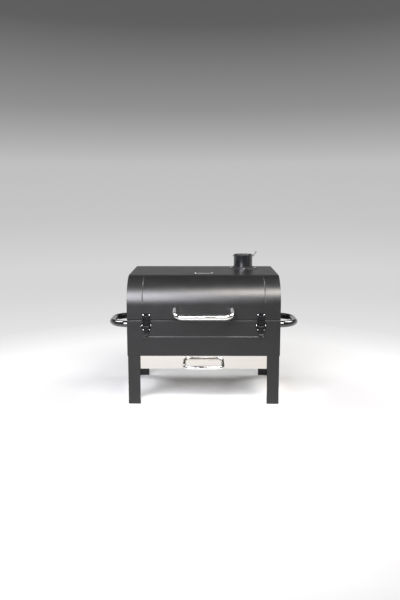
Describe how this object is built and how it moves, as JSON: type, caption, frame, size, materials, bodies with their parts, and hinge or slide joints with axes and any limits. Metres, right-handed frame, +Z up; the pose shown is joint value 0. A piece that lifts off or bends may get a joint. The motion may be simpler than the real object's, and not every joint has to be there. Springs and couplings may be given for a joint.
{
  "type": "tabletop smoker grill",
  "caption": "Tabletop smoker grill: steel firebox on angle legs, curved hinged lid with short chimney and damper, toggle latches, carrying handles and an ash drawer.",
  "frame": {"origin": "on the ground, at the centre of the whole grill's footprint, handles and hinges included", "axes": "+X to the right as seen from the front, along the long side; -Y towards the front, where the drawer opens; +Z up"},
  "size_m": [0.733, 0.4744, 0.5411],
  "materials": {
    "body_black": "satin powder coat, fine grain",
    "handle_black": "gloss enamel",
    "chimney_black": "semi-gloss enamel",
    "latch_black": "black plating, semi-gloss",
    "drawer_stainless": "bright rolled stainless, faint horizontal grain",
    "polished_steel": "polished stainless",
    "grate_steel": "plated wire",
    "fire_steel": "bare mild steel, heat tinted",
    "zinc_steel": "bright zinc plate"
  },
  "bodies": {
    "root": {"firebox_shell": "body_black", "firebox_side_left": "body_black", "firebox_side_right": "body_black", "leg_front_left": "body_black", "leg_front_right": "body_black", "leg_rear_left": "body_black", "leg_rear_right": "body_black", "leg_bolts": "zinc_steel", "leg_nuts": "zinc_steel", "side_handle_left": "handle_black", "side_handle_right": "handle_black", "side_handle_screws": "zinc_steel", "grate_rail_front": "body_black", "grate_rail_rear": "body_black", "cooking_grate_left": "grate_steel", "cooking_grate_right": "grate_steel", "fuel_grate": "fire_steel", "fuel_tray": "fire_steel", "drawer_rail_left": "body_black", "drawer_rail_right": "body_black", "drawer_rail_screws": "zinc_steel", "hinge_body_leaf_left": "body_black", "hinge_body_leaf_right": "body_black", "hinge_body_screws": "zinc_steel", "hinge_pins": "zinc_steel", "latch_base_left": "latch_black", "latch_base_right": "latch_black", "latch_base_screws": "zinc_steel", "latch_pins": "zinc_steel"},
    "lid": {"lid_shell": "body_black", "lid_end_left": "body_black", "lid_end_right": "body_black", "lid_handle": "polished_steel", "lid_handle_screws": "zinc_steel", "badge_plate": "polished_steel", "badge_rivets": "polished_steel", "chimney_collar": "body_black", "chimney_tube": "chimney_black", "chimney_screws": "zinc_steel", "latch_keeper_left": "latch_black", "latch_keeper_right": "latch_black", "latch_keeper_screws": "zinc_steel", "hinge_lid_leaf_left": "body_black", "hinge_lid_leaf_right": "body_black", "hinge_lid_screws": "zinc_steel"},
    "damper": {"damper_plate": "body_black", "damper_rod": "chimney_black", "damper_screws": "zinc_steel"},
    "latch_lever_l": {"latch_lever_left": "latch_black"},
    "latch_lever_r": {"latch_lever_right": "latch_black"},
    "latch_bail_l": {"latch_bail_left": "latch_black"},
    "latch_bail_r": {"latch_bail_right": "latch_black"},
    "drawer": {"drawer_tray": "drawer_stainless", "drawer_front": "drawer_stainless", "drawer_handle": "polished_steel", "drawer_handle_screws": "zinc_steel"}
  },
  "joints": [
    {"name": "lid_hinge", "type": "hinge", "parent": "root", "child": "lid", "pos_m": [0, 0.23325, 0.317], "axis": [-1, 0, 0], "range_deg": [0, 95]},
    {"name": "damper_turn", "type": "hinge", "parent": "lid", "child": "damper", "pos_m": [0.1605, 0.16025, 0.5215], "axis": [1, 0, 0], "range_deg": [0, 90]},
    {"name": "ash_drawer_slide", "type": "slide", "parent": "root", "child": "drawer", "axis": [0, -1, 0], "range_m": [0, 0.3]},
    {"name": "latch_lever_left", "type": "hinge", "parent": "root", "child": "latch_lever_l", "pos_m": [-0.209, -0.17475, 0.294], "axis": [-1, 0, 0], "range_deg": [0, 115]},
    {"name": "latch_bail_left", "type": "hinge", "parent": "latch_lever_l", "child": "latch_bail_l", "pos_m": [-0.209, -0.17345, 0.286], "axis": [-1, 0, 0], "range_deg": [-128, 0]},
    {"name": "latch_lever_right", "type": "hinge", "parent": "root", "child": "latch_lever_r", "pos_m": [0.209, -0.17475, 0.294], "axis": [-1, 0, 0], "range_deg": [0, 115]},
    {"name": "latch_bail_right", "type": "hinge", "parent": "latch_lever_r", "child": "latch_bail_r", "pos_m": [0.209, -0.17345, 0.286], "axis": [-1, 0, 0], "range_deg": [-128, 0]}
  ],
  "couplings": [
    {"joint": "latch_bail_left", "follows": "latch_lever_left", "ratio": -1.1},
    {"joint": "latch_bail_right", "follows": "latch_lever_right", "ratio": -1.1}
  ]
}
